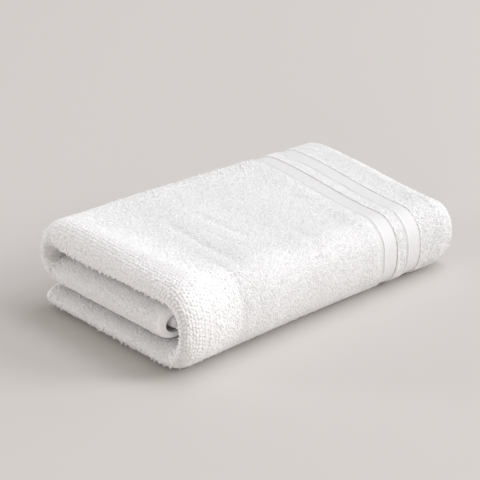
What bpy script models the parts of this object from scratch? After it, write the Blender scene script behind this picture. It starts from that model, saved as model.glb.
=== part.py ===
"""Hand towel of white terry cloth, folded and laid flat.

The cloth is folded in half across, and in half again the same way, so that it
lies in four plies.  These are folded in three along their length, as an inward
spiral: a bottom run on the surface, a round front turn, a top run, a tight back
turn and a tongue that ends inside the front turn.  The second crosswise fold
makes the round lips at -X, with the inner pair of plies nested in them.  At +X
lie the two hems and the first crosswise fold.  The two bands near the outer hem
are woven without pile and lie a little deeper than the terry.  All of it is one
cloth, so it is one solid.

Units are metres, +Z is up, the origin is on the surface under the middle.
"""
import bpy
import numpy as np

# ---- driving dimensions -------------------------------------------------
FOLDED_LENGTH = 0.270       # lips to the outer hem, along X
PLIES = 4                   # plies that lie on each other in every run of the spiral
PLY_GAP = 0.0006            # air between one ply and the next
RUN_GAP = 0.0009            # air between one run of the spiral and the next

# places, heights, thicknesses and reaches of the fold at the lips (-X), half way and at the hems (+X)
SIZES = {
    #                  lips     middle   hems
    "front start":   (-0.0644, -0.0536, -0.0468),   # Y where bottom and top runs meet the front turn
    "back start":    (0.0473, 0.0540, 0.0594),      # Y where top run and tongue meet the back turn
    "bottom end":    (0.0641, 0.0680, 0.0702),      # Y of the bottom run's free selvage
    "tongue end":    (-0.0707, -0.0605, -0.0530),   # Y of the tongue's free selvage
    "bottom":        (0.0176, 0.0171, 0.0167),      # thickness of the bottom run
    "front turn":    (0.0144, 0.0149, 0.0153),      # thickness at the crown of the front turn
    "top at front":  (0.0203, 0.0185, 0.0176),      # thickness of the top run at the front turn
    "top at back":   (0.0248, 0.0221, 0.0203),      # thickness of the top run at the back turn
    "back turn":     (0.0140, 0.0140, 0.0140),      # thickness at the crown of the back turn
    "front height":  (0.0653, 0.0576, 0.0527),      # top surface at the front turn
    "back height":   (0.0671, 0.0648, 0.0608),      # top surface at the back turn
    "front reach":   (0.0315, 0.0261, 0.0248),      # how far the front turn swells out
    "back reach":    (0.0248, 0.0257, 0.0266),      # how far the back turn swells out
}

# soft folds of the outer ply, as ridges (+) and troughs (-) that run along Y over the top and
# the front turn, and die away towards the back turn
SWELLS = {
    #                 from lips  half width  height
    "lip crest":     (0.0234,    0.0108,      0.0011),
    "lip trough":    (0.0450,    0.0108,     -0.0009),
    "first swell":   (0.0880,    0.0160,      0.0007),
    "second trough": (0.1190,    0.0135,     -0.0007),
    "band ridge":    (0.1860,    0.0072,      0.0007),
    "hem trough":    (0.2450,    0.0108,     -0.0005),
}
SWELL_LEFT = 0.35           # share of them that is left at the back turn

EYE_START = 0.0144          # how far before the back turn the two runs begin to part
EYE_OPENING = 0.0011        # how much each of them has thinned where that turn starts
EYE_SLIMNESS = 4.0          # length over height of the slit that is left in the back turn
FRONT_SQUARENESS = 2.3      # exponent of the front turn's outline: 2 is an ellipse, more is squarer
BACK_SQUARENESS = 2.0       # the same for the back turn

LIP_LENGTH = 0.0153         # rounding of the lips, along X
NEST_START = 0.0212         # from the lips to where the nested inner fold begins to turn
HEM_LENGTH = 0.0144         # over which the plies draw together at the hems
HEM_EDGE = 0.0032           # half the thickness they would come down to at the outer hem
HEM_PLY = 0.0027            # thickness of a flat hem, without pile
INNER_END = 0.0101          # how much shorter than the outer hem the other plies are
SELVAGE_LENGTH = 0.0068     # rounding at the selvages
SELVAGE_CLOSING = 0.42      # how much nearer each other the plies come there, as a share of their spacing

BAND_DEPTH = 0.0014         # how deep a woven band lies under the pile
BAND_STEP = 0.0011          # width of the step at its edge
BANDS = {
    #             start    end, from the lips
    "inner band": (0.1967, 0.2097),
    "outer band": (0.2210, 0.2340),
}

# how many stations each run of the spiral has
STATIONS = {"bottom": 3, "front turn": 12, "top": 8, "back turn": 11, "tongue": 4}
# extra stations at a selvage: share of its rounding, how much the plies close, how thick they are
SELVAGE = {
    #              place  closing  thickness
    "edge":       (0.00,  1.00,    0.45),
    "quarter":    (0.06,  0.66,    0.66),
    "half":       (0.25,  0.34,    0.90),
    "shoulder":   (0.58,  0.09,    1.00),
    "full":       (1.00,  0.00,    1.00),
}
OUTER_STEPS = 11            # places along the terry of the outer ply
INNER_STEPS = 4             # places along each of the other plies
LIP_STEPS = 8               # places round the lips
NEST_STEPS = 5              # places round each of the two tight crosswise folds
HEM_STEPS = 3               # places over the end of the outer hem


def smooth(t):
    """Ease from 0 to 1 with level ends."""
    t = np.clip(t, 0.0, 1.0)
    return t * t * (3.0 - 2.0 * t)


def size(name, from_lips):
    """A size of the table at each distance from the lips, on a curve through its three values."""
    lips, middle, hems = SIZES[name]
    t = np.clip(from_lips / FOLDED_LENGTH, 0.0, 1.0)
    return lips + (hems - lips) * t + (middle - (lips + hems) / 2) * 4 * t * (1 - t)


def to_back(y, from_lips):
    """How far a place on the top run is from the front turn (0) to the back turn (1), eased."""
    front = size("front start", from_lips)
    return smooth((y - front) / (size("back start", from_lips) - front))


def roof(y, from_lips):
    """Height of the top surface, without its soft folds."""
    front = size("front height", from_lips)
    return front + (size("back height", from_lips) - front) * to_back(y, from_lips)


def top_run(y, from_lips):
    """Thickness of the top run."""
    front = size("top at front", from_lips)
    return front + (size("top at back", from_lips) - front) * to_back(y, from_lips)


def half_turn(angle, squareness):
    """Reach and rise of a turn, each from -1 to 1, as the angle goes from -90 to 90 degrees."""
    power = 2 / squareness
    return np.cos(angle) ** power, np.sign(np.sin(angle)) * np.abs(np.sin(angle)) ** power


def spiral(from_lips):
    """Outer face of the spiral, as y and z, its thickness, and its share of the soft folds.

    Each has one row for a station along the spiral and one column for a place along X.
    """
    bottom = size("bottom", from_lips)
    tongue_z = bottom + RUN_GAP
    bottom_end = size("bottom end", from_lips)
    front = size("front start", from_lips)
    back = size("back start", from_lips)
    level = np.zeros_like(from_lips)
    runs = []

    def steps(run, last=0):
        return (np.arange(STATIONS[run] + last) / STATIONS[run])[:, None] + level

    def before_eye(plain, y):
        return plain - EYE_OPENING * (1 - smooth((back - y) / EYE_START))

    # the bottom run lies flat, from its selvage to the front
    y = bottom_end + (front - bottom_end) * steps("bottom")
    runs.append((y, 0 * y, bottom + 0 * y, 0 * y))
    # the front turn goes from the surface up to the roof
    out, rise = half_turn(np.pi * (steps("front turn") - 0.5), FRONT_SQUARENESS)
    plain = np.where(rise < 0, bottom, top_run(front, from_lips))
    crown = size("front turn", from_lips)
    runs.append((front - size("front reach", from_lips) * out,
                 roof(front, from_lips) / 2 * (1 + rise),
                 crown + (plain - crown) * rise ** 2,
                 smooth(steps("front turn"))))
    # the top run follows the roof to the back
    y = front + (back - front) * steps("top")
    runs.append((y, roof(y, from_lips), before_eye(top_run(y, from_lips), y),
                 1 - (1 - SWELL_LEFT) * smooth(2 * steps("top") - 1)))
    # the back turn goes from the roof down to the bottom run, round a slim slit
    angle = np.pi * (steps("back turn") - 0.5)
    out, rise = half_turn(angle, BACK_SQUARENESS)
    height = roof(back, from_lips)
    top = top_run(back, from_lips)
    tongue = height - top - RUN_GAP - tongue_z
    plain = np.where(rise < 0, top, tongue) - EYE_OPENING
    slit = 1 / np.hypot(np.cos(angle), EYE_SLIMNESS * np.sin(angle))
    slit = (slit - 1 / EYE_SLIMNESS) / (1 - 1 / EYE_SLIMNESS)
    runs.append((back + size("back reach", from_lips) * out,
                 (height + tongue_z) / 2 - (height - tongue_z) / 2 * rise,
                 plain + (size("back turn", from_lips) - plain) * slit,
                 SWELL_LEFT * (1 - smooth(2 * steps("back turn")))))
    # the tongue lies on the bottom run and fills the room under the top run
    y = back + (size("tongue end", from_lips) - back) * steps("tongue", 1)
    plain = roof(y, from_lips) - top_run(y, from_lips) - RUN_GAP - tongue_z
    runs.append((y, tongue_z + 0 * y, before_eye(plain, y), 0 * y))
    return [np.concatenate(field) for field in zip(*runs)]


def selvage_stations(fields):
    """Add the close stations of the SELVAGE table at the two free ends of the spiral.

    Returns the fields, and how much the plies close and how thick they are at each station.
    """
    place, closing, thickness = np.array(list(SELVAGE.values())).T
    y = fields[0]
    first = place[:, None] * SELVAGE_LENGTH / np.abs(y[1] - y[0]).max()
    last = place[::-1, None] * SELVAGE_LENGTH / np.abs(y[-1] - y[-2]).max()
    longer = [np.concatenate([f[:1] + (f[1:2] - f[:1]) * first, f[1:-1],
                              f[-1:] + (f[-2:-1] - f[-1:]) * last]) for f in fields]
    between = len(y) - 2
    closing = np.concatenate([closing, np.zeros(between), closing[::-1]])[:, None]
    thickness = np.concatenate([thickness, np.ones(between), thickness[::-1]])[:, None]
    return longer, closing, thickness


def profile():
    """Middle line of the cloth, from the outer hem through the four plies to the inner hem.

    Each part has: the distance from the lips, the ply (0 is the outermost, 3 the innermost,
    a turn lies between two), how far it is round a turn (-1 to 1 along X), whether that
    turn is the wide one at the lips, and how much of it is a hem.
    """
    edges = [edge + BAND_STEP * step for start, end in BANDS.values()
             for edge, step in ((start, 0), (start, 1), (end, -1), (end, 0))]
    shoulder = FOLDED_LENGTH - HEM_LENGTH
    inner_end = FOLDED_LENGTH - INNER_END
    hem_steps = FOLDED_LENGTH - INNER_END * np.linspace(1, 0, HEM_STEPS + 1) ** 1.5
    outer = np.concatenate([np.linspace(LIP_LENGTH, edges[0], OUTER_STEPS, endpoint=False)[1:],
                            edges, [shoulder], hem_steps])
    inner = np.append(np.linspace(LIP_LENGTH, shoulder, INNER_STEPS + 1)[1:], inner_end)
    nested = inner[:-1]
    parts = []

    def straight(places, ply, hem=0):
        parts.append((places, ply + 0 * places, 0 * places, 0 * places, hem + 0 * places))

    def turn(place, towards, steps, first_ply, last_ply, wide=0):
        around = np.linspace(0, np.pi, steps + 1)
        ply = first_ply + (last_ply - first_ply) * (1 - np.cos(around)) / 2
        parts.append((place + 0 * around, ply, towards * np.sin(around), wide + 0 * around, 0 * around))

    straight(outer[::-1], 0, smooth(1 - (FOLDED_LENGTH - outer[::-1]) / HEM_LENGTH))
    turn(LIP_LENGTH, -1, LIP_STEPS, 0, PLIES - 1, wide=1)
    straight(nested, 3)
    turn(inner_end, 1, NEST_STEPS, 3, 2)
    straight(nested[::-1], 2)
    turn(NEST_START, -1, NEST_STEPS, 2, 1)
    straight(inner, 1)
    return [np.concatenate(field) for field in zip(*parts)]


def cloth_points():
    """Points of the two faces of the cloth: outer[station, place] and inner[station, place]."""
    place, ply, around, wide, hem = profile()
    from_lips = place + around * wide * LIP_LENGTH
    (y, z, thickness, share), closing, thinning = selvage_stations(spiral(from_lips))
    # outward normal of each section
    dy = np.gradient(y, axis=0)
    dz = np.gradient(z, axis=0)
    length = np.hypot(dy, dz)
    out_y, out_z = -dz / length, dy / length

    # towards the hems the run draws together about its middle; the plies share its thickness
    drawn = smooth(1 - (FOLDED_LENGTH - from_lips) / HEM_LENGTH) * (thickness / 2 - HEM_EDGE)
    thickness = thickness - 2 * drawn
    half = (thickness - (PLIES - 1) * PLY_GAP) / PLIES / 2
    spacing = (2 * half + PLY_GAP) * (1 - closing * SELVAGE_CLOSING)
    depth = drawn + thickness / 2 + (ply - (PLIES - 1) / 2) * spacing
    x = place + around * (wide * (LIP_LENGTH - half) + (1 - wide) * spacing / 2)
    thicker = (HEM_PLY / 2 - half) * hem
    half = half + thicker
    depth = depth + thicker

    # the soft folds and the woven bands move only the outer face of the outer ply
    relief = 0 * from_lips
    for middle, half_width, rise in SWELLS.values():
        relief = relief + rise * np.exp(-((from_lips - middle) / half_width) ** 2)
    relief = relief * share
    for start, end in BANDS.values():
        within = (from_lips > start + BAND_STEP / 2) & (from_lips < end - BAND_STEP / 2)
        relief = relief - BAND_DEPTH * within
    relief = relief * np.clip(1 - ply, 0, 1)
    depth = depth - relief / 2
    half = (half + relief / 2) * thinning

    # direction across the cloth, in the plane of x and depth
    along_x = np.gradient(x, axis=1)
    along_d = np.gradient(depth, axis=1)
    length = np.hypot(along_x, along_d)

    def face(sign):
        d = depth - sign * half * along_x / length
        return np.stack([x + sign * half * along_d / length, y - out_y * d, z - out_z * d], axis=-1)

    return face(-1), face(1)


def closed_mesh(name, outer, inner):
    """One closed mesh of the two faces and the four narrow edges between them."""
    rows, columns = outer.shape[:2]
    count = rows * columns
    index = np.arange(count).reshape(rows, columns)

    def quads(a, b, c, d):
        return np.stack([a, b, c, d], axis=-1).reshape(-1, 4)

    faces = [
        quads(index[:-1, :-1], index[1:, :-1], index[1:, 1:], index[:-1, 1:]),
        quads(index[:-1, :-1], index[:-1, 1:], index[1:, 1:], index[1:, :-1]) + count,
    ]
    rim = np.concatenate([index[0, :-1], index[:-1, -1], index[-1, :0:-1], index[:0:-1, 0]])
    following = np.roll(rim, -1)
    faces.append(quads(rim, following, following + count, rim + count))

    mesh = bpy.data.meshes.new(name)
    points = np.concatenate([outer.reshape(-1, 3), inner.reshape(-1, 3)])
    mesh.from_pydata(points.tolist(), [], np.concatenate(faces).tolist())
    mesh.validate()
    mesh.update()
    return mesh


def terry_material():
    """White cotton terry: near white, dull."""
    material = bpy.data.materials.new("terry")
    material.use_nodes = True
    shader = material.node_tree.nodes["Principled BSDF"]
    shader.inputs["Base Color"].default_value = (0.87, 0.87, 0.86, 1.0)
    shader.inputs["Roughness"].default_value = 0.95
    shader.inputs["Metallic"].default_value = 0.0
    return material


def towel():
    """The folded cloth as one object."""
    outer, inner = cloth_points()
    # the origin is under the middle of the cloth's extents
    both = np.concatenate([outer, inner]).reshape(-1, 3)
    middle = (both.min(axis=0) + both.max(axis=0)) / 2 * (1, 1, 0)
    mesh = closed_mesh("towel", outer - middle, inner - middle)
    mesh.shade_smooth()
    mesh.materials.append(terry_material())
    cloth = bpy.data.objects.new("towel", mesh)
    bpy.context.scene.collection.objects.link(cloth)
    return cloth


def main():
    for thing in list(bpy.data.objects):
        bpy.data.objects.remove(thing, do_unlink=True)
    towel()


if __name__ == "__main__":
    main()
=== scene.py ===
"""A hand towel of white terry cloth, folded and laid flat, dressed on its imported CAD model.

The towel is one cloth.  It is folded in half across twice, which makes four plies, and
these are folded in three along their length as an inward spiral: a bottom run, a front
turn, a top run, a back turn and a tongue.  +X goes from the round lips to the hems, +Y
from the front turn to the back turn and +Z up.  All lengths are metres.
"""

import bpy
import numpy as np
from mathutils import Matrix, Vector


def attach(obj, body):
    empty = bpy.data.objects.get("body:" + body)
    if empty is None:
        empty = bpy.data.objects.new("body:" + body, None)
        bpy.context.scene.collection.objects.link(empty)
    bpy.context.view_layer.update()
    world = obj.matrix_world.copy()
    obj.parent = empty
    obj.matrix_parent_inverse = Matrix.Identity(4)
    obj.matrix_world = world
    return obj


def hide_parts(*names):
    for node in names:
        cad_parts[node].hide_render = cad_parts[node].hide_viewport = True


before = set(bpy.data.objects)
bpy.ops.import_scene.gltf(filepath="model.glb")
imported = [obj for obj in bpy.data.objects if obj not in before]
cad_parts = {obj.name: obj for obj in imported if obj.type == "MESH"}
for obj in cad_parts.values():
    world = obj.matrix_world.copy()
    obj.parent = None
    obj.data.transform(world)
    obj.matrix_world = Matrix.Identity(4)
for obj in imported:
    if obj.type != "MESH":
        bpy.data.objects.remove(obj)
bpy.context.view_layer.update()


# ---- The woven ground -------------------------------------------------------------------
# One length of cotton towelling, woven on one loom with a flat selvage down each side and
# two bands of plain satin near its end, and hemmed at both ends.  This is the ground that
# the loops stand on, folded as the towel lies, a little under the faces of the CAD solid.

FOLDED_LENGTH = 0.270       # lips to the outer hem
PLIES = 4
TOP_MIDDLE = 2.5            # station in the middle of the top run; the bottom run is 0 to 1
PLY_GAP = 0.0006            # air between one ply and the next
RUN_GAP = 0.0009            # air between one run of the spiral and the next

FOLD_SIZES = {
    #                  lips     middle   hems
    "front start":   (-0.0644, -0.0536, -0.0468),   # Y where the runs meet the front turn
    "back start":    (0.0473, 0.0540, 0.0594),      # Y where the runs meet the back turn
    "bottom end":    (0.0655, 0.0682, 0.0702),      # Y of the bottom run's selvage
    "tongue end":    (-0.0678, -0.0600, -0.0530),   # Y of the tongue's selvage
    "bottom":        (0.0176, 0.0171, 0.0167),      # thickness of the four plies, from here on
    "front turn":    (0.0144, 0.0149, 0.0153),
    "top at front":  (0.0203, 0.0185, 0.0176),
    "top at back":   (0.0248, 0.0221, 0.0203),
    "back turn":     (0.0140, 0.0140, 0.0140),
    "front height":  (0.0653, 0.0576, 0.0527),      # top surface, at the two turns
    "back height":   (0.0671, 0.0648, 0.0608),
    "front reach":   (0.0315, 0.0261, 0.0248),      # how far the turns swell out
    "back reach":    (0.0248, 0.0257, 0.0266),
}
EYE_START = 0.0144          # how far before the back turn the plies begin to get thinner there,
EYE_OPENING = 0.0011        # by how much, so that an eye opens inside the turn,
EYE_SLIMNESS = 4.0          # and how many times longer than high that eye is
FRONT_SQUARENESS = 2.3      # exponent of a turn's outline: 2 is an ellipse, more is squarer
BACK_SQUARENESS = 2.5

LIP_LENGTH = 0.0153         # rounding of the lips, along X
LIPS_END = 0.0300           # a border of the grid, past the steepest part of the lips
FIELD_START = 0.0550        # and one where the even field of the pile begins
NEST_START = 0.0168         # from the lips to the nested inner fold
HEM_LENGTH = 0.0144         # over which the plies draw together at the hems
HEM_EDGE = 0.0032           # half the thickness of the four plies there
HEM_PLY = 0.0027            # thickness of the hem itself
HEM_NOSE = 0.0014           # rounding of its folded edge
INNER_END = 0.0101          # how much shorter than the outer hem the other plies are
SELVAGE_LENGTH = 0.0068     # rounding at the selvages
SELVAGE_CLOSING = 0.42      # how much nearer the plies come at the bottom run's selvage,
TONGUE_CLOSING = 0.30       # at the tongue's, which stays an open roll,
BULB_CLOSING = 0.88         # and at the lips' end on the bottom run, which is a round bulb,
BULB_LENGTH = 0.0060        # rounded in a shorter length,
BULB_FADE = (0.0060, 0.0180)    # between these distances from the lips it turns plain again,
BULB_DRAWING = 0.50         # and the lips draw back by this share of the closing

SLACK = 1e-6                # for comparing places of the grid with its borders

BANDS = {
    #               start    end, from the lips
    "inner band": (0.1967, 0.2097),
    "outer band": (0.2210, 0.2340),
}
BAND_EDGES = [edge for band in BANDS.values() for edge in band]
ROLL_WIDTH = 0.0026         # where the last loops lean over into a band, at its start

# Soft folds over the top and the front turn.  Each follows a line that lies this far from the
# lips in the middle of the top run, and that comes nearer by its slope with each further run.
SWELLS = {
    #                 from lips  slope    half width  height
    "lip crest":     (0.0182,    0.0144,  0.0085,      0.0015),
    "lip trough":    (0.0430,    0.0080,  0.0125,     -0.0009),
    "first swell":   (0.0830,    0.0000,  0.0120,      0.0010),
    "second trough": (0.1190,    0.0000,  0.0135,     -0.0009),
    "band ridge":    (0.1860,    0.0000,  0.0072,      0.0007),
    "hem trough":    (0.2450,    0.0000,  0.0108,     -0.0005),
}
SWELL_LEFT = 0.35           # share of them that is left at the back turn
# Narrow creases, which run in the same way between two stations.
CREASES = {
    #                 from lips  slope    half width  height   from   to
    "first crease":  (0.0666,    0.0000,  0.0036,     -0.0008, 1.80,  2.75),
    "second crease": (0.0965,    0.0160,  0.0036,     -0.0008, 2.10,  2.75),
    "third crease":  (0.0500,    0.0060,  0.0030,     -0.0006, 1.30,  2.20),
    "fourth crease": (0.1420,   -0.0100,  0.0040,     -0.0006, 1.55,  2.40),
    "fifth crease":  (0.0780,    0.0220,  0.0030,     -0.0006, 1.95,  2.45),
}
CREASE_FADE = 0.25          # in stations, at either end of a crease
RIPPLE_LENGTH = 0.0046      # fine ripples round the front turn, next to the lips
RIPPLE_HEIGHT = 0.00030
RIPPLE_STATIONS = (1.15, 1.45, 1.55, 1.85)      # they begin, are full, until here, and end
RIPPLE_PLACES = (0.010, 0.020, 0.030, 0.050)    # the same, in distances from the lips
PLEAT_STATION = 3.87        # a pleat in the lips, where the tongue leaves the back turn,
PLEAT_REACH = (0.07, 0.012)     # this far back and on from there, in stations,
PLEAT_DEPTH = 0.0030
PLEAT_FADE = (0.010, 0.026)     # and out between these distances from the lips

# Rows: share of the selvage's rounding, how much the plies close there, how thick they are.
SELVAGE = np.array([
    (0.00, 1.00, 0.12), (0.02, 0.90, 0.30), (0.06, 0.66, 0.52), (0.14, 0.48, 0.74),
    (0.25, 0.34, 0.90), (0.40, 0.20, 0.97), (0.58, 0.09, 1.00), (1.00, 0.00, 1.00)])

PILE = 0.0015               # height of the loops on the flat
LIP_PILE = 0.0024           # and on the lips, where the bend opens them
LIP_PILE_FADE = (0.014, 0.036)          # distances from the lips between which it gets lower
PILE_FROM_SELVAGE = (0.0048, 0.0062)    # where loops begin, on the bottom run and the tongue
PILE_INSIDE = 0.0280        # how far the loops go on, on the inner side of the lips
FIRST_FOLD_PILE = 0.0090    # the same, from the first crosswise fold
HIDDEN_FROM = 4.15          # station from which the tongue's upper side is out of sight,
HIDDEN_TO = 0.252           # from the field's start to here, and has no loops
LIPS_OVER = (1.15, 3.15)    # stations between which the lips show their upper and front side
# Share of the pile's height that is packed too close to see into: on that side of the lips, on
# the rest of them, on the flat and next to the hem.
FELTED = (0.38, 0.45, 0.86, 0.93)
FELTED_FADE = (0.006, 0.028)            # from the lips' to the flat's, in distances from the lips
BAND_SINK = 0.0009          # how far the ground lies under the solid's face in a band,
BARE_SINK = 0.0006          # and where it is bare
MOST_SINK = (0.45, 0.20)    # but at most this share of a ply, on its outer and its inner face

# Stations along the spiral: 0 to 1 is the bottom run, and so on to the tongue, 4 to 5.  They
# are closer in the turns, and closest in the share of a run that is next to a selvage.
SELVAGE_SHARE = 0.055
SELVAGE_STEPS = SELVAGE[:, 0] * SELVAGE_SHARE
ALONG = np.concatenate([
    SELVAGE_STEPS, np.linspace(SELVAGE_SHARE, 1, 12)[1:-1],
    1 + np.arange(44) / 44, 2 + np.arange(36) / 36, 3 + np.arange(56) / 56,
    4 + np.linspace(0, 1 - SELVAGE_SHARE, 18)[:-1], 5 - SELVAGE_STEPS[::-1]])


def smooth(t):
    """Ease from 0 to 1 with level ends: 3 t squared less 2 t cubed."""
    t = np.clip(t, 0.0, 1.0)
    return t * t * (3.0 - 2.0 * t)


def eased(value, start, end):
    """Ease from 0 at the start value to 1 at the end value."""
    return smooth((value - start) / (end - start))


def fold_size(name, from_lips):
    """A size of the fold at each distance from the lips: the parabola through its three values."""
    lips, middle, hems = FOLD_SIZES[name]
    t = np.clip(from_lips / FOLDED_LENGTH, 0.0, 1.0)
    return lips + (hems - lips) * t + (middle - (lips + hems) / 2) * 4 * t * (1 - t)


def half_turn(angle, squareness):
    """Reach and rise of a turn as the angle goes from -90 to 90 degrees: a superellipse."""
    power = 2 / squareness
    return np.cos(angle) ** power, np.sign(np.sin(angle)) * np.abs(np.sin(angle)) ** power


def spiral(from_lips):
    """Outer face of the four plies as y and z, their thickness, and their share of the swells.

    Three nearly level runs, joined by two superellipse turns.  The thickness eases from one
    turn to the other, and inside the back turn it leaves an elliptic eye.  Each result has
    one row for a station along the spiral and one column for a distance from the lips.
    """
    share = [ALONG[(ALONG >= k) & ((ALONG < k + 1) | (k == 4))][:, None] - k + 0 * from_lips
             for k in range(5)]
    bottom = fold_size("bottom", from_lips)
    tongue_z = bottom + RUN_GAP
    bottom_end = fold_size("bottom end", from_lips)
    front = fold_size("front start", from_lips)
    back = fold_size("back start", from_lips)
    front_roof = fold_size("front height", from_lips)
    back_roof = fold_size("back height", from_lips)
    front_top = fold_size("top at front", from_lips)
    back_top = fold_size("top at back", from_lips)

    def between(at_front, at_back, y):
        """Ease from the value at the front turn to the value at the back turn."""
        return at_front + (at_back - at_front) * eased(y, front, back)

    def before_eye(plain, y):
        """The plain thickness, less the eye's opening where a run comes to the back turn."""
        return plain - EYE_OPENING * (1 - smooth((back - y) / EYE_START))

    y = bottom_end + (front - bottom_end) * share[0]
    runs = [(y, 0 * y, bottom + 0 * y, 0 * y)]

    out, rise = half_turn(np.pi * (share[1] - 0.5), FRONT_SQUARENESS)
    plain = np.where(rise < 0, bottom, front_top)
    crown = fold_size("front turn", from_lips)
    runs.append((front - fold_size("front reach", from_lips) * out, front_roof / 2 * (1 + rise),
                 crown + (plain - crown) * rise ** 2, smooth(share[1])))

    y = front + (back - front) * share[2]
    runs.append((y, between(front_roof, back_roof, y),
                 before_eye(between(front_top, back_top, y), y),
                 1 - (1 - SWELL_LEFT) * smooth(2 * share[2] - 1)))

    angle = np.pi * (share[3] - 0.5)
    out, rise = half_turn(angle, BACK_SQUARENESS)
    tongue = back_roof - back_top - RUN_GAP - tongue_z
    plain = np.where(rise < 0, back_top, tongue) - EYE_OPENING
    slit = 1 / np.hypot(np.cos(angle), EYE_SLIMNESS * np.sin(angle))
    slit = (slit - 1 / EYE_SLIMNESS) / (1 - 1 / EYE_SLIMNESS)
    runs.append((back + fold_size("back reach", from_lips) * out,
                 (back_roof + tongue_z) / 2 - (back_roof - tongue_z) / 2 * rise,
                 plain + (fold_size("back turn", from_lips) - plain) * slit,
                 SWELL_LEFT * (1 - smooth(2 * share[3]))))

    y = back + (fold_size("tongue end", from_lips) - back) * share[4]
    plain = between(front_roof, back_roof, y) - between(front_top, back_top, y) - RUN_GAP - tongue_z
    runs.append((y, tongue_z + 0 * y, before_eye(plain, y), 0 * y))
    return [np.concatenate(field) for field in zip(*runs)]


def cut_up(*marks, step):
    """Places from the first mark to the last, even between marks and at most a step apart."""
    parts = [np.linspace(a, b, int(np.ceil((b - a) / step)) + 1)[:-1]
             for a, b in zip(marks, marks[1:])]
    return np.append(np.concatenate(parts), marks[-1])


def cloth_line():
    """Middle line of the cloth, from the outer hem through the four plies to the inner hem.

    Columns: the distance from the lips, the ply (0 is the outermost, a turn lies between
    two), how far it is round a turn (-1 to 1 along X), whether that is the wide turn at the
    lips, how much of it is hem, and the distance to the folded edge of the hem.
    """
    shoulder = FOLDED_LENGTH - HEM_LENGTH
    inner_end = FOLDED_LENGTH - INNER_END
    nose = HEM_NOSE * (1 - np.cos(np.linspace(0, np.pi / 2, 5)))
    borders = [place for start, end in BANDS.values() for place in (start - ROLL_WIDTH, start, end)]
    outer = np.concatenate([cut_up(LIP_LENGTH, LIPS_END, FIELD_START, *borders, shoulder,
                                   FOLDED_LENGTH - HEM_NOSE, step=0.0020)[:-1],
                            FOLDED_LENGTH - nose[::-1]])
    third = np.concatenate([cut_up(LIP_LENGTH, PILE_INSIDE, step=0.0020)[:-1],
                            cut_up(PILE_INSIDE, inner_end - FIRST_FOLD_PILE, step=0.0120)[:-1],
                            cut_up(inner_end - FIRST_FOLD_PILE, inner_end, step=0.0020)])
    second = cut_up(NEST_START, inner_end, step=0.0150)
    first = np.concatenate([cut_up(NEST_START, inner_end - HEM_NOSE, step=0.0150)[:-1],
                            inner_end - nose[::-1]])
    parts = []

    def straight(places, ply, hem=0.0, end=None):
        """A level stretch of one ply, with a folded edge at its end where that is given."""
        parts.append((places, ply + 0 * places, 0 * places, 0 * places, hem + 0 * places,
                      1 + 0 * places if end is None else end - places))

    def turn(place, towards, first_ply, last_ply, steps, wide=0):
        """A half circle from one ply to another, towards +X or -X."""
        around = np.linspace(0, np.pi, steps + 1)[1:-1]
        ply = first_ply + (last_ply - first_ply) * (1 - np.cos(around)) / 2
        parts.append((place + 0 * around, ply, towards * np.sin(around), wide + 0 * around,
                      0 * around, 1 + 0 * around))

    straight(outer[::-1], 0, smooth(1 - (FOLDED_LENGTH - outer[::-1]) / HEM_LENGTH), FOLDED_LENGTH)
    turn(LIP_LENGTH, -1, 0, PLIES - 1, steps=26, wide=1)
    straight(third, 3)
    turn(inner_end, 1, 3, 2, steps=9)
    straight(second[::-1], 2)
    turn(NEST_START, -1, 2, 1, steps=9)
    straight(first, 1, 0.0, inner_end)
    return [np.concatenate(field) for field in zip(*parts)]


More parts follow.
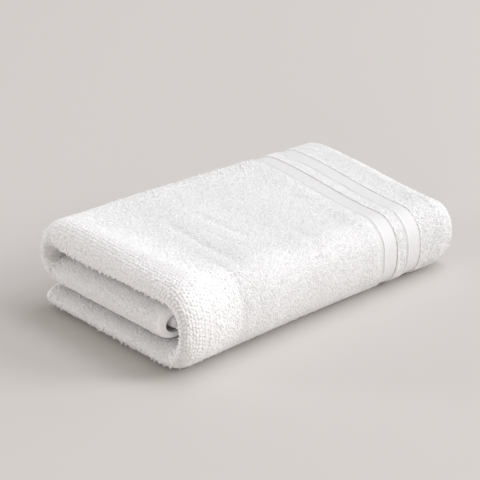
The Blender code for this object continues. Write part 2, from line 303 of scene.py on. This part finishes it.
def folded_cloth():
    """Everything about the folded cloth on its grid of stations and places, as a dictionary.

    The four plies share the thickness of the spiral.  A point of a face lies at its place
    along X and at its depth under the spiral's outer face, half a ply to either side of the
    middle line, square to that line.
    """
    place, ply, around, wide, hem, to_edge = cloth_line()
    from_lips = place + around * wide * LIP_LENGTH
    y, z, thickness, share = spiral(from_lips)
    dy, dz = np.gradient(y, axis=0), np.gradient(z, axis=0)
    length = np.hypot(dy, dz)
    out_y, out_z = -dz / length, dy / length

    # the plies close together and thin out at the selvages, most in the bulb
    along = ALONG[:, None]
    to_selvage = np.where(along < 1, np.abs(y - y[0]), np.where(along > 4, np.abs(y - y[-1]), 1.0))
    on_bottom = along < TOP_MIDDLE
    bulb = (1 - eased(from_lips, *BULB_FADE)) * on_bottom
    closing_length = SELVAGE_LENGTH + (BULB_LENGTH - SELVAGE_LENGTH) * bulb
    closing = np.interp(to_selvage / closing_length, SELVAGE[:, 0], SELVAGE[:, 1])
    closing = closing * (np.where(on_bottom, SELVAGE_CLOSING, TONGUE_CLOSING)
                         + (BULB_CLOSING - SELVAGE_CLOSING) * bulb)
    thinning = np.interp(to_selvage / SELVAGE_LENGTH, SELVAGE[:, 0], SELVAGE[:, 2])

    # they draw together at the hems, and share the thickness evenly
    drawn = smooth(1 - (FOLDED_LENGTH - from_lips) / HEM_LENGTH) * (thickness / 2 - HEM_EDGE)
    thickness = thickness - 2 * drawn
    half = (thickness - (PLIES - 1) * PLY_GAP) / PLIES / 2
    spacing = (2 * half + PLY_GAP) * (1 - closing)
    depth = drawn + thickness / 2 + (ply - (PLIES - 1) / 2) * spacing

    # each turn reaches out by half the way between its two plies, less the bulb and the pleat
    pleat_width = np.where(along < PLEAT_STATION, *PLEAT_REACH)
    pleat = PLEAT_DEPTH * np.exp(-((along - PLEAT_STATION) / pleat_width) ** 2)
    reach = LIP_LENGTH * (1 - BULB_DRAWING * closing) - half - pleat
    x = place + around * (wide * reach + (1 - wide) * spacing / 2)

    # the hem is thicker than a ply, and its edge is a quarter circle, blunt at the tip
    thicker = (HEM_PLY / 2 - half) * hem
    half = half + thicker
    depth = depth + thicker
    half = half * np.sqrt(1 - np.clip(1 - to_edge / HEM_NOSE, 0, 0.99) ** 2)

    # bell curves across their own line, and a sine for the ripples, on the outermost ply
    relief = 0 * from_lips
    for middle, slope, half_width, height in SWELLS.values():
        middle = middle - slope * (along - TOP_MIDDLE)
        relief = relief + height * np.exp(-((from_lips - middle) / half_width) ** 2)
    relief = relief * share
    for middle, slope, half_width, height, first, last in CREASES.values():
        middle = middle - slope * (along - TOP_MIDDLE)
        present = smooth((along - first) / CREASE_FADE) * smooth((last - along) / CREASE_FADE)
        relief = relief + height * present * np.exp(-((from_lips - middle) / half_width) ** 2)
    begin, full, until, end = RIPPLE_STATIONS
    ripples = eased(along, begin, full) * (1 - eased(along, until, end))
    begin, full, until, end = RIPPLE_PLACES
    ripples = ripples * eased(from_lips, begin, full) * (1 - eased(from_lips, until, end))
    relief = relief + RIPPLE_HEIGHT * ripples * np.sin(2 * np.pi * from_lips / RIPPLE_LENGTH)
    outermost = np.clip(1 - ply, 0, 1)
    relief = relief * outermost
    relief = relief - pleat * (1 - eased(from_lips, *PLEAT_FADE)) * np.maximum(outermost, wide)
    depth = depth - relief / 2
    half = (half + relief / 2) * thinning

    across_x, across_d = np.gradient(x, axis=1), np.gradient(depth, axis=1)
    length = np.hypot(across_x, across_d)

    def face(sign):
        """The middle line moved by half a ply to one side, square to itself."""
        d = depth - sign * half * across_x / length
        return np.stack([x + sign * half * across_d / length, y - out_y * d, z - out_z * d],
                        axis=-1)

    outer, inner = face(-1), face(1)
    both = np.concatenate([outer, inner]).reshape(-1, 3)
    middle = (both.min(axis=0) + both.max(axis=0)) / 2 * (1, 1, 0)
    return {"outer": outer - middle, "inner": inner - middle, "along": along + 0 * x,
            "from lips": from_lips + 0 * x, "ply": ply + 0 * x, "wide": wide + 0 * x,
            "to selvage": to_selvage}


def where_loops_stand(cloth):
    """Height of the pile at each grid point: none on bands, selvages and hidden plies.

    At a selvage it rises from 1 mm before where the loops begin to 1 mm after.
    """
    from_lips, ply, along = cloth["from lips"], cloth["ply"], cloth["along"]
    outermost = ply == 0
    height = LIP_PILE + (PILE - LIP_PILE) * eased(from_lips, *LIP_PILE_FADE)
    shown = outermost.copy()
    for start, end in BANDS.values():
        shown &= (from_lips < start + SLACK) | (from_lips > end - SLACK)
    shown |= cloth["wide"] > 0
    shown |= (ply == 3) & (from_lips < PILE_INSIDE + SLACK)
    shown |= (ply > 2) & (from_lips > FOLDED_LENGTH - INNER_END - FIRST_FOLD_PILE - SLACK)
    hidden = (along > HIDDEN_FROM) & outermost & (from_lips > FIELD_START) & (from_lips < HIDDEN_TO)
    begin = np.where(along < TOP_MIDDLE, *PILE_FROM_SELVAGE)
    return height * (shown & ~hidden) * smooth((cloth["to selvage"] - begin + 0.001) / 0.002)


cloth = folded_cloth()
pile = where_loops_stand(cloth)
in_band = np.zeros(pile.shape, bool)
for start, end in BANDS.values():
    in_band |= ((cloth["ply"] == 0) & (cloth["from lips"] > start - SLACK)
                & (cloth["from lips"] < end + SLACK))
felted = np.where((cloth["along"] > LIPS_OVER[0]) & (cloth["along"] < LIPS_OVER[1]), *FELTED[:2])
felted = felted + (FELTED[2] - felted) * eased(cloth["from lips"], *FELTED_FADE)
felted = felted + (FELTED[3] - felted) * (cloth["from lips"] > BAND_EDGES[1])
sink = np.maximum(np.where(in_band, BAND_SINK, BARE_SINK), pile * (1 - felted))
through = cloth["inner"] - cloth["outer"]
ply_thickness = np.linalg.norm(through, axis=-1)
ground = cloth["outer"] + through * np.minimum(sink / ply_thickness, MOST_SINK[0])[..., None]
back_face = cloth["inner"] - through * np.minimum(BARE_SINK / ply_thickness, MOST_SINK[1])[..., None]


COTTON = (0.930, 0.915, 0.932)
# Painted shade: the satin band is woven of the same white cotton, and its grey stands in for how
# much dimmer its smooth face looks under the light than the pile.
SHADED_SATIN = (0.726, 0.717, 0.730)
FIBRE_SIZE, FIBRE_DEPTH = 0.00045, 0.00010


def terry_cotton(name, base):
    """White cotton: two near tones by a soft noise, and fibres as a bump by a second noise.

    The roughness follows the fibres, between two near values.
    """
    material = bpy.data.materials.new(name)
    material.use_nodes = True
    nodes, links = material.node_tree.nodes, material.node_tree.links
    shader = nodes["Principled BSDF"]
    shader.inputs["Sheen Weight"].default_value = 0.15
    shader.inputs["Sheen Roughness"].default_value = 0.5
    shader.inputs["Specular IOR Level"].default_value = 0.15
    shader.inputs["Subsurface Weight"].default_value = 0.6
    shader.inputs["Subsurface Radius"].default_value = (1.0, 1.0, 1.0)
    shader.inputs["Subsurface Scale"].default_value = 0.0018
    place = nodes.new("ShaderNodeTexCoord")
    tone = nodes.new("ShaderNodeTexNoise")
    tone.inputs["Scale"].default_value = 420.0
    tone.inputs["Detail"].default_value = 3.0
    links.new(place.outputs["Object"], tone.inputs["Vector"])
    tones = nodes.new("ShaderNodeValToRGB")
    tones.color_ramp.elements[0].position = 0.32
    tones.color_ramp.elements[0].color = (*(0.955 * v for v in base), 1)
    tones.color_ramp.elements[1].position = 0.62
    tones.color_ramp.elements[1].color = (*base, 1)
    links.new(tone.outputs["Fac"], tones.inputs["Fac"])
    links.new(tones.outputs["Color"], shader.inputs["Base Color"])
    fibre = nodes.new("ShaderNodeTexNoise")
    fibre.inputs["Scale"].default_value = 1 / FIBRE_SIZE
    fibre.inputs["Detail"].default_value = 2.0
    links.new(place.outputs["Object"], fibre.inputs["Vector"])
    bump = nodes.new("ShaderNodeBump")
    bump.inputs["Strength"].default_value = 0.4
    bump.inputs["Distance"].default_value = FIBRE_DEPTH
    links.new(fibre.outputs["Fac"], bump.inputs["Height"])
    links.new(bump.outputs["Normal"], shader.inputs["Normal"])
    dull = nodes.new("ShaderNodeMapRange")
    dull.inputs["To Min"].default_value = 0.86
    dull.inputs["To Max"].default_value = 0.98
    links.new(fibre.outputs["Fac"], dull.inputs["Value"])
    links.new(dull.outputs["Result"], shader.inputs["Roughness"])
    return material


def selvage_cords(material):
    """Adds a selvage's woven cords, 1.3 mm apart, to a cotton as a second bump."""
    nodes, links = material.node_tree.nodes, material.node_tree.links
    weave = nodes.new("ShaderNodeUVMap")
    weave.uv_map = "weave"
    cords = nodes.new("ShaderNodeTexWave")
    cords.bands_direction = "Y"
    cords.inputs["Scale"].default_value = 240.0
    cords.inputs["Distortion"].default_value = 1.5
    cords.inputs["Detail"].default_value = 1.0
    links.new(weave.outputs["UV"], cords.inputs["Vector"])
    bump = nodes.new("ShaderNodeBump")
    bump.inputs["Strength"].default_value = 0.5
    bump.inputs["Distance"].default_value = 0.00016
    links.new(cords.outputs["Fac"], bump.inputs["Height"])
    links.new(nodes["Bump"].outputs["Normal"], bump.inputs["Normal"])
    links.new(bump.outputs["Normal"], nodes["Principled BSDF"].inputs["Normal"])
    return material


def shaded_satin_band():
    """Plain satin: weft ribs along the band by a wave on the weave's own UV, and a soft gloss.

    The ribs are 1.4 mm apart: a wave node's bands are 2 pi / 20 apart at scale 1.
    """
    material = bpy.data.materials.new("shaded_satin_band")
    material.use_nodes = True
    nodes, links = material.node_tree.nodes, material.node_tree.links
    shader = nodes["Principled BSDF"]
    # painted shade: the satin's grey base colour, darker than the cotton only for the light
    shader.inputs["Base Color"].default_value = (*SHADED_SATIN, 1)
    shader.inputs["Sheen Weight"].default_value = 0.1
    shader.inputs["Specular IOR Level"].default_value = 0.12
    weave = nodes.new("ShaderNodeUVMap")
    weave.uv_map = "weave"
    ribs = nodes.new("ShaderNodeTexWave")
    ribs.bands_direction = "X"
    ribs.inputs["Scale"].default_value = 227.3637
    ribs.inputs["Distortion"].default_value = 0.6
    ribs.inputs["Detail"].default_value = 1.0
    links.new(weave.outputs["UV"], ribs.inputs["Vector"])
    bump = nodes.new("ShaderNodeBump")
    bump.inputs["Strength"].default_value = 0.35
    bump.inputs["Distance"].default_value = 0.00012
    links.new(ribs.outputs["Fac"], bump.inputs["Height"])
    links.new(bump.outputs["Normal"], shader.inputs["Normal"])
    gloss = nodes.new("ShaderNodeMapRange")
    gloss.inputs["To Min"].default_value = 0.50
    gloss.inputs["To Max"].default_value = 0.62
    links.new(ribs.outputs["Fac"], gloss.inputs["Value"])
    links.new(gloss.outputs["Result"], shader.inputs["Roughness"])
    return material


def cloth_mesh(name, outer, inner, band):
    """One closed mesh: the two faces and the four narrow edges between them.

    Its UV map holds the lengths along the cloth and across it, in metres.
    """
    rows, columns = outer.shape[:2]
    count = rows * columns
    index = np.arange(count).reshape(rows, columns)

    def quads(a, b, c, d):
        """One row of four corners for each cell."""
        return np.stack([a, b, c, d], axis=-1).reshape(-1, 4)

    front = quads(index[:-1, :-1], index[1:, :-1], index[1:, 1:], index[:-1, 1:])
    behind = quads(index[:-1, :-1], index[:-1, 1:], index[1:, 1:], index[1:, :-1]) + count
    rim = np.concatenate([index[0, :-1], index[:-1, -1], index[-1, :0:-1], index[:0:-1, 0]])
    following = np.roll(rim, -1)
    edge = quads(rim, following, following + count, rim + count)
    faces = np.concatenate([front, behind, edge])
    mesh = bpy.data.meshes.new(name)
    mesh.from_pydata(np.concatenate([outer.reshape(-1, 3), inner.reshape(-1, 3)]), [], faces)
    mesh.update()
    cell = (band[:-1, :-1] & band[1:, 1:]).reshape(-1)
    slots = np.concatenate([cell, np.zeros(len(behind) + len(edge), bool)]).astype(np.int32)
    mesh.polygons.foreach_set("material_index", slots)
    warp = np.linalg.norm(np.diff(outer, axis=1), axis=-1).mean(axis=0)
    weft = np.linalg.norm(np.diff(outer, axis=0), axis=-1).mean(axis=1)
    lengths = np.meshgrid(np.append(0, np.cumsum(warp)), np.append(0, np.cumsum(weft)))
    lengths = np.concatenate([np.stack(lengths, axis=-1).reshape(-1, 2)] * 2)
    mesh.uv_layers.new(name="weave").uv.foreach_set("vector", lengths[faces.ravel()].ravel())
    mesh.shade_smooth()
    piece = bpy.data.objects.new(name, mesh)
    bpy.context.scene.collection.objects.link(piece)
    return piece


terry_cloth = cloth_mesh("terry_cloth", ground, back_face, in_band)
terry_cloth.data.materials.append(selvage_cords(terry_cotton("terry_ground", COTTON)))
terry_cloth.data.materials.append(shaded_satin_band())
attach(terry_cloth, "root")
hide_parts("towel")


# ---- The pile ---------------------------------------------------------------------------
# Loops of soft cotton yarn that the loom pulls up out of the ground, in rows across the
# towel.  They stand close together, lean every way and are largest on the lips, where the
# bend opens them.  Each shows as a small closed bead of yarn.

random = np.random.default_rng(7)
LOOP_ROUND = (0.42, 0.50)       # radius of a loop's lower and upper ring, as a share of its width
LOOP_WIDEST_LOW = 0.26          # share of its height where the lower ring is
ROOT = 0.25                     # share of its height that is in the ground
LOOP_DEPTH = (0.72, 1.0)        # its other width, as a share of the first, at least and at most,
COMBED_DEPTH = (0.5, 0.7)       # and that of a combed loop,
COMBED_TURN = 0.12              # which turns from the towel's length by this share of half a turn
TUFT_HEIGHT, TUFT_WIDTH = 1.50, 0.65        # of a tuft, as shares of a loop's
# How far a loop's normals lean out, at each distance from the lips: little where its fluff runs
# together with the next one's.
ROUNDNESS = ((0.008, 0.022, 0.045, 0.085, 0.195, 0.220), (0.95, 0.62, 0.42, 0.26, 0.16, 0.18))
ROW_CLOSENESS = 0.86            # between rows, as a share of the pitch in a row
EDGE_JITTER = 0.3               # share of its random move across, in the first and last row
LEAST_PILE = 0.6                # where the pile is lower than this share of the flat's, none stand
MOST_LOOPS = 12000              # in one piece


def grid_at(field, station, place):
    """Value of a grid field between its points: linear along the spiral and across it."""
    i = np.clip(np.floor(station).astype(int), 0, field.shape[0] - 2)
    j = np.clip(np.floor(place).astype(int), 0, field.shape[1] - 2)
    a, b = station - i, place - j
    if field.ndim == 3:
        a, b = a[:, None], b[:, None]
    return ((field[i, j] * (1 - a) + field[i + 1, j] * a) * (1 - b)
            + (field[i, j + 1] * (1 - a) + field[i + 1, j + 1] * a) * b)


line_place, line_ply, line_around = cloth_line()[:3]


def column(ply, distance):
    """Grid column of a ply that is nearest to a distance from the lips."""
    gap = np.abs(line_place - distance) + np.abs(line_ply - ply) + np.abs(line_around)
    return int(gap.argmin())


# From this column to the hem the cloth slopes down, and loops are lit as if they stood at it.
lit_until = column(0, FOLDED_LENGTH - HEM_LENGTH)


def even_spots(first, last, pitch, jitter):
    """Rows of spots between two columns of the grid, as fractional stations and places.

    In a row along the spiral the spots are a pitch apart, and the rows lie a little closer,
    every other one moved by half a pitch.  Then each spot is moved by a random share of it.
    """
    level = ground[np.abs(ALONG - TOP_MIDDLE).argmin(), first:last + 1]
    warp = np.append(0, np.cumsum(np.linalg.norm(np.diff(level, axis=0), axis=-1)))
    rows = max(1, int(round(warp[-1] / (ROW_CLOSENESS * pitch))))
    row_warp = (np.arange(rows) + 0.5) / rows * warp[-1]
    row_place = first + np.interp(row_warp, warp, np.arange(last - first + 1))
    j = np.clip(np.floor(row_place).astype(int), 0, ground.shape[1] - 2)
    share = (row_place - j)[None, :, None]
    lines = ground[:, j] * (1 - share) + ground[:, j + 1] * share
    weft = np.cumsum(np.linalg.norm(np.diff(lines, axis=0), axis=-1), axis=0)
    weft = np.concatenate([np.zeros((1, rows)), weft])
    counts = np.round(weft[-1] / pitch).astype(int)
    row = np.repeat(np.arange(rows), counts)
    slot = np.arange(counts.sum()) - np.repeat(np.cumsum(counts) - counts, counts)
    slot = slot + 0.5 + 0.5 * (row % 2) + random.uniform(-jitter, jitter, len(slot))
    wanted = np.clip(slot / counts[row], 0, 1) * weft[-1, row]
    apart = 10.0        # more than any row's length, so that one interpolation serves them all
    station = np.interp(wanted + apart * row, (weft + apart * np.arange(rows)).T.ravel(),
                        np.tile(np.arange(len(ALONG)), rows))
    step = np.interp(row_place[row] - first, np.arange(last - first + 1), np.gradient(warp))
    shift = random.uniform(-jitter, jitter, len(slot)) * pitch
    edge = (row == 0) | (row == rows - 1)
    place = row_place[row] + np.where(edge, EDGE_JITTER, 1.0) * shift / step
    return station, np.clip(place, first, last)


def unit(vectors):
    """Vectors along the last axis, each over its own length."""
    return vectors / np.linalg.norm(vectors, axis=-1, keepdims=True)


def loops(name, material, station, place,
          width, lean, tufts, uneven, shoulder, roundness, splay, combed):
    """Loops as closed beads: two rings of four between two poles, on an axis that leans.

    The shoulder is the share of a bead's height where its upper ring is and its dome begins.
    The normals there are the cloth's own plus the ring's, times the roundness at that place
    and the area's factor for it.  A share of the loops are tufts, which stand taller and
    slimmer.  Splayed loops lean towards the hem, and combed ones are flatter and lie along
    the towel.  None goes below the floor.
    """
    tall = grid_at(pile, station, place)
    up = unit(-grid_at(through, station, place))
    foot = grid_at(cloth["outer"], station, place) - up * tall[:, None]
    face = unit(-grid_at(through, station, np.maximum(place, lit_until)))[:, None, :]
    across = grid_at(np.gradient(ground, axis=1), station, place)
    across = unit(across - up * (across * up).sum(axis=-1, keepdims=True))
    third = np.cross(up, across)
    count = len(foot)
    way = random.uniform(0, 2 * np.pi, count)[:, None]
    tilt = lean * np.sqrt(random.uniform(0, 1, count))[:, None]
    axis = unit(up + tilt * (np.cos(way) * across + np.sin(way) * third) - splay * across)
    turn = (random.uniform(-np.pi, np.pi, count) * (COMBED_TURN if combed else 1.0))[:, None]
    side = np.cos(turn) * across + np.sin(turn) * third
    side = unit(side - axis * (side * axis).sum(axis=-1, keepdims=True))
    other = np.cross(axis, side)
    tuft = random.uniform(0, 1, count) < tufts
    tall = tall * random.uniform(1 - uneven, 1 + uneven, count) * np.where(tuft, TUFT_HEIGHT, 1.0)
    height = tall / (1 - ROOT)
    width = width * random.uniform(1 - uneven, 1 + uneven, count) * np.where(tuft, TUFT_WIDTH, 1.0)
    depth = random.uniform(*(COMBED_DEPTH if combed else LOOP_DEPTH), count)[:, None, None]
    start = foot - axis * (height * ROOT)[:, None]

    def ring(twist):
        """Four spokes a quarter turn apart, round the axis."""
        angle = (np.arange(4) * np.pi / 2 + twist)[None, :, None]
        return side[:, None, :] * np.cos(angle) + other[:, None, :] * (np.sin(angle) * depth)

    def placed(share, radius, spokes):
        """The points of a ring at a share of the bead's height."""
        centre = start[:, None, :] + axis[:, None, :] * (height * share)[:, None, None]
        return centre + spokes * (width * radius)[:, None, None]

    from_lips = grid_at(cloth["from lips"], station, place)
    roundness = (roundness * np.interp(from_lips, *ROUNDNESS))[:, None, None]
    lower, upper = ring(0.0), ring(np.pi / 4)
    points = np.concatenate([start[:, None, :], placed(LOOP_WIDEST_LOW, LOOP_ROUND[0], lower),
                             placed(shoulder, LOOP_ROUND[1], upper),
                             (start + axis * height[:, None])[:, None, :]], axis=1)
    normals = np.concatenate([-axis[:, None, :], lower, upper * roundness + face, face], axis=1)
    points[..., 2] = np.maximum(points[..., 2], 0.0)

    low, high = np.arange(1, 5), np.arange(5, 9)        # 0 is the root, 9 the top of the dome
    next_low, next_high = np.roll(low, -1), np.roll(high, -1)
    bead = np.concatenate([
        np.stack([0 * low, next_low, low], axis=-1), np.stack([low, next_low, high], axis=-1),
        np.stack([next_low, next_high, high], axis=-1),
        np.stack([high, next_high, 0 * high + 9], axis=-1)])
    faces = (bead[None] + 10 * np.arange(count)[:, None, None]).reshape(-1, 3)
    mesh = bpy.data.meshes.new(name)
    mesh.from_pydata(points.reshape(-1, 3), [], faces)
    mesh.shade_smooth()
    mesh.normals_split_custom_set_from_vertices(unit(normals).reshape(-1, 3))
    mesh.materials.append(material)
    piece = bpy.data.objects.new(name, mesh)
    bpy.context.scene.collection.objects.link(piece)
    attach(piece, "root")
    return piece


LARGE_TO_SMALL = (0.0220, 0.0440)        # from the lips: large and small loops stand mixed here
SLIT_COLUMNS = 9                         # of the lips' turn, next to the slit that it closes

large_end, small_start = column(0, LARGE_TO_SMALL[1]), column(0, LARGE_TO_SMALL[0])
slit_edge, slit_end = column(3, LIP_LENGTH) - SLIT_COLUMNS, column(3, PILE_INSIDE)
field_start = column(0, FIELD_START)
inner_roll, inner_band = column(0, BAND_EDGES[0] - ROLL_WIDTH), column(0, BAND_EDGES[0])
outer_roll, outer_band = column(0, BAND_EDGES[2] - ROLL_WIDTH), column(0, BAND_EDGES[2])

LOOP_AREAS = {
    # columns of the grid; stations; pitch, width, jitter;
    # lean, share of tufts, unevenness, shoulder, roundness, splay, combed
    "lips_over": (large_end, slit_edge, *LIPS_OVER, 0.00300, 0.00295, 0.14,
                  0.18, 0.03, 0.10, 0.72, 1.20, 0.0, False),
    "slit_edges": (slit_edge, slit_end, *LIPS_OVER, 0.00285, 0.00220, 0.14,
                   0.26, 0.25, 0.12, 0.72, 1.20, 0.0, False),
    "lips_under": (large_end, slit_end, 0.00, LIPS_OVER[0], 0.00275, 0.00235, 0.18,
                   0.22, 0.18, 0.10, 0.74, 0.45, 0.0, False),
    "lips_inside": (large_end, slit_end, LIPS_OVER[1], 5.00, 0.00245, 0.00240, 0.20,
                    0.20, 0.05, 0.09, 0.76, 0.42, 0.0, False),
    "beyond_lips": (field_start, small_start, 1.17, 5.00, 0.00250, 0.00265, 0.25,
                    0.25, 0.02, 0.10, 0.80, 1.00, 0.0, False),
    "field": (inner_roll, field_start, 1.17, 2.95, 0.00205, 0.00265, 0.30,
              0.22, 0.00, 0.06, 0.86, 0.85, 0.0, False),
    "back_edge": (inner_roll, field_start, 2.95, 3.35, 0.00220, 0.00230, 0.30,
                  0.30, 0.25, 0.12, 0.80, 0.90, 0.0, False),
    "back_turn": (inner_roll, field_start, 3.35, HIDDEN_FROM, 0.00210, 0.00280, 0.30,
                  0.25, 0.00, 0.07, 0.88, 1.00, 0.0, False),
    "front_edge": (inner_roll, small_start, 0.95, 1.17, 0.00260, 0.00215, 0.25,
                   0.45, 0.45, 0.15, 0.76, 1.00, 0.0, False),
    "underside": (inner_roll, small_start, 0.00, 0.95, 0.00240, 0.00290, 0.30,
                  0.28, 0.00, 0.07, 0.88, 1.00, 0.0, False),
    "inner_roll": (inner_band, inner_roll, 0.00, HIDDEN_FROM, 0.00110, 0.00240, 0.10,
                   0.06, 0.00, 0.04, 0.80, 1.00, 0.0, False),
    "between_bands": (outer_roll, column(0, BAND_EDGES[1]), 0.00, HIDDEN_FROM,
                      0.00190, 0.00270, 0.25, 0.20, 0.00, 0.06, 0.88, 1.00, 0.0, False),
    "outer_roll": (outer_band, outer_roll, 0.00, HIDDEN_FROM, 0.00110, 0.00240, 0.10,
                   0.06, 0.00, 0.04, 0.80, 1.00, 0.0, False),
    "end_strip": (column(0, FOLDED_LENGTH), column(0, BAND_EDGES[3]), 0.00, 5.00,
                  0.00185, 0.00340, 0.25, 0.20, 0.00, 0.06, 0.88, 1.00, 0.0, True),
    "hem_rim": (0, 1, 0.00, 5.00, 0.00130, 0.00230, 0.30,
                0.35, 0.35, 0.15, 0.80, 0.80, 1.0, False),
    "first_fold": (column(3, FOLDED_LENGTH - INNER_END - FIRST_FOLD_PILE),
                   column(2, FOLDED_LENGTH - INNER_END), 0.00, 5.00,
                   0.00220, 0.00260, 0.25, 0.25, 0.03, 0.10, 0.80, 2.00, 0.0, False),
}
LARGE_LOOPS = ("lips_over", "slit_edges", "lips_under", "lips_inside")
DENSE_HEM_LIT_LOOPS = ("end_strip", "hem_rim")          # packed close, and painted a little lighter for the brighter light at the hem end
# Painted light: the same white cotton as the rest, made lighter because light falls brighter on the
# end strip and the hem rim.
HEM_LIT_COTTON = (0.962, 0.948, 0.965)

loop_yarn = terry_cotton("loop_yarn", COTTON)
hem_lit_yarn = terry_cotton("hem_lit_yarn", HEM_LIT_COTTON)
for area, (first, last, start, end, pitch, width, jitter, *style) in LOOP_AREAS.items():
    station, place = even_spots(first, last, pitch, jitter)
    along = np.interp(station, np.arange(len(ALONG)), ALONG)
    stands = (grid_at(pile, station, place) > LEAST_PILE * PILE) & (along >= start) & (along < end)
    # a spot keeps its loop where the size that is drawn for it is this area's size
    small_share = eased(grid_at(cloth["from lips"], station, place), *LARGE_TO_SMALL)
    small = random.uniform(0, 1, len(station)) < small_share
    stands &= small != (area in LARGE_LOOPS)
    station, place = station[stands], place[stands]
    order = np.argsort(station, kind="stable")
    pieces = int(np.ceil(len(order) / MOST_LOOPS))
    yarn = hem_lit_yarn if area in DENSE_HEM_LIT_LOOPS else loop_yarn
    for number, chosen in enumerate(np.array_split(order, pieces), start=1):
        loops(f"loops_{area}_{number}", yarn, station[chosen], place[chosen],
                                 width, *style)


# ---- Floor, light and camera --------------------------------------------------------------
# A plain pale floor that runs out of the picture on all sides.  Wide soft lights stand at the
# front right, overhead and low behind, and weak ones fill in from the sides.

FLOOR = 8.0         # half its side
floor_mesh = bpy.data.meshes.new("floor")
floor_corners = [(-FLOOR, -FLOOR, 0), (FLOOR, -FLOOR, 0), (FLOOR, FLOOR, 0), (-FLOOR, FLOOR, 0)]
floor_mesh.from_pydata(floor_corners, [], [(0, 1, 2, 3)])
floor = bpy.data.objects.new("floor", floor_mesh)
bpy.context.scene.collection.objects.link(floor)
floor_paint = bpy.data.materials.new("floor_paint")
floor_paint.use_nodes = True
floor_shader = floor_paint.node_tree.nodes["Principled BSDF"]
floor_shader.inputs["Base Color"].default_value = (0.60, 0.569, 0.551, 1)
floor_shader.inputs["Roughness"].default_value = 0.9
floor_shader.inputs["Specular IOR Level"].default_value = 0.1
floor_mesh.materials.append(floor_paint)

scene = bpy.context.scene
world = bpy.data.worlds.new("soft_light")
scene.world = world
world.use_nodes = True
world.node_tree.nodes["Background"].inputs["Color"].default_value = (1.0, 0.985, 0.885, 1)
world.node_tree.nodes["Background"].inputs["Strength"].default_value = 0.43

SOFT_LIGHTS = {
    #             azimuth  elevation  distance  width  watts   colour
    "key":        (318,     25,        5.5,      2.5,   170.0,  (0.98, 0.99, 1.00)),
    "high_key":   (315,     55,        8.0,      2.8,   102.0,  (0.87, 0.92, 1.00)),
    "overhead":   (0,       72,        8.0,      5.3,   205.0,  (0.92, 0.89, 0.97)),
    "low_back":   (135,     8,         5.5,      1.5,   100.0,  (0.97, 0.95, 1.00)),
    "low_front":  (300,     10,        5.5,      1.6,    12.0,  (1.00, 0.99, 0.97)),
    "right_fill": (0,       15,        5.0,      3.3,    36.0,  (0.75, 0.93, 1.00)),
    "left_fill":  (225,     9,         4.0,      1.0,    18.0,  (1.00, 0.93, 0.86)),
}
for name, (azimuth, elevation, distance, width, watts, colour) in SOFT_LIGHTS.items():
    lamp_data = bpy.data.lights.new(name, "AREA")
    lamp_data.shape = "DISK"
    lamp_data.size = width
    lamp_data.energy = watts
    lamp_data.color = colour
    lamp = bpy.data.objects.new(name, lamp_data)
    turn, rise = np.radians((azimuth, elevation))
    towards = Vector((np.cos(turn) * np.cos(rise), np.sin(turn) * np.cos(rise), np.sin(rise)))
    lamp.location = towards * distance
    lamp.rotation_euler = towards.to_track_quat("Z", "Y").to_euler()
    lamp.visible_camera = False
    scene.collection.objects.link(lamp)

AIM = Vector((0.002659, 0.018870, 0.030129))    # the middle of the picture
TOWARDS_CAMERA = Vector((-0.591535, -0.705214, 0.390844))
CAMERA_RIGHT = Vector((0.766157, -0.642654, 0.0))
CAMERA_DISTANCE = 1.57878
camera = bpy.data.objects.new("camera", bpy.data.cameras.new("camera"))
camera.data.sensor_width = 36.0
camera.data.lens = 165.0
camera.data.clip_end = 50.0
camera_up = TOWARDS_CAMERA.cross(CAMERA_RIGHT)
axes = Matrix((CAMERA_RIGHT, camera_up, TOWARDS_CAMERA)).transposed().to_4x4()
axes.translation = AIM + TOWARDS_CAMERA * CAMERA_DISTANCE
camera.matrix_world = axes
scene.collection.objects.link(camera)
scene.camera = camera
scene.view_settings.view_transform = "Standard"
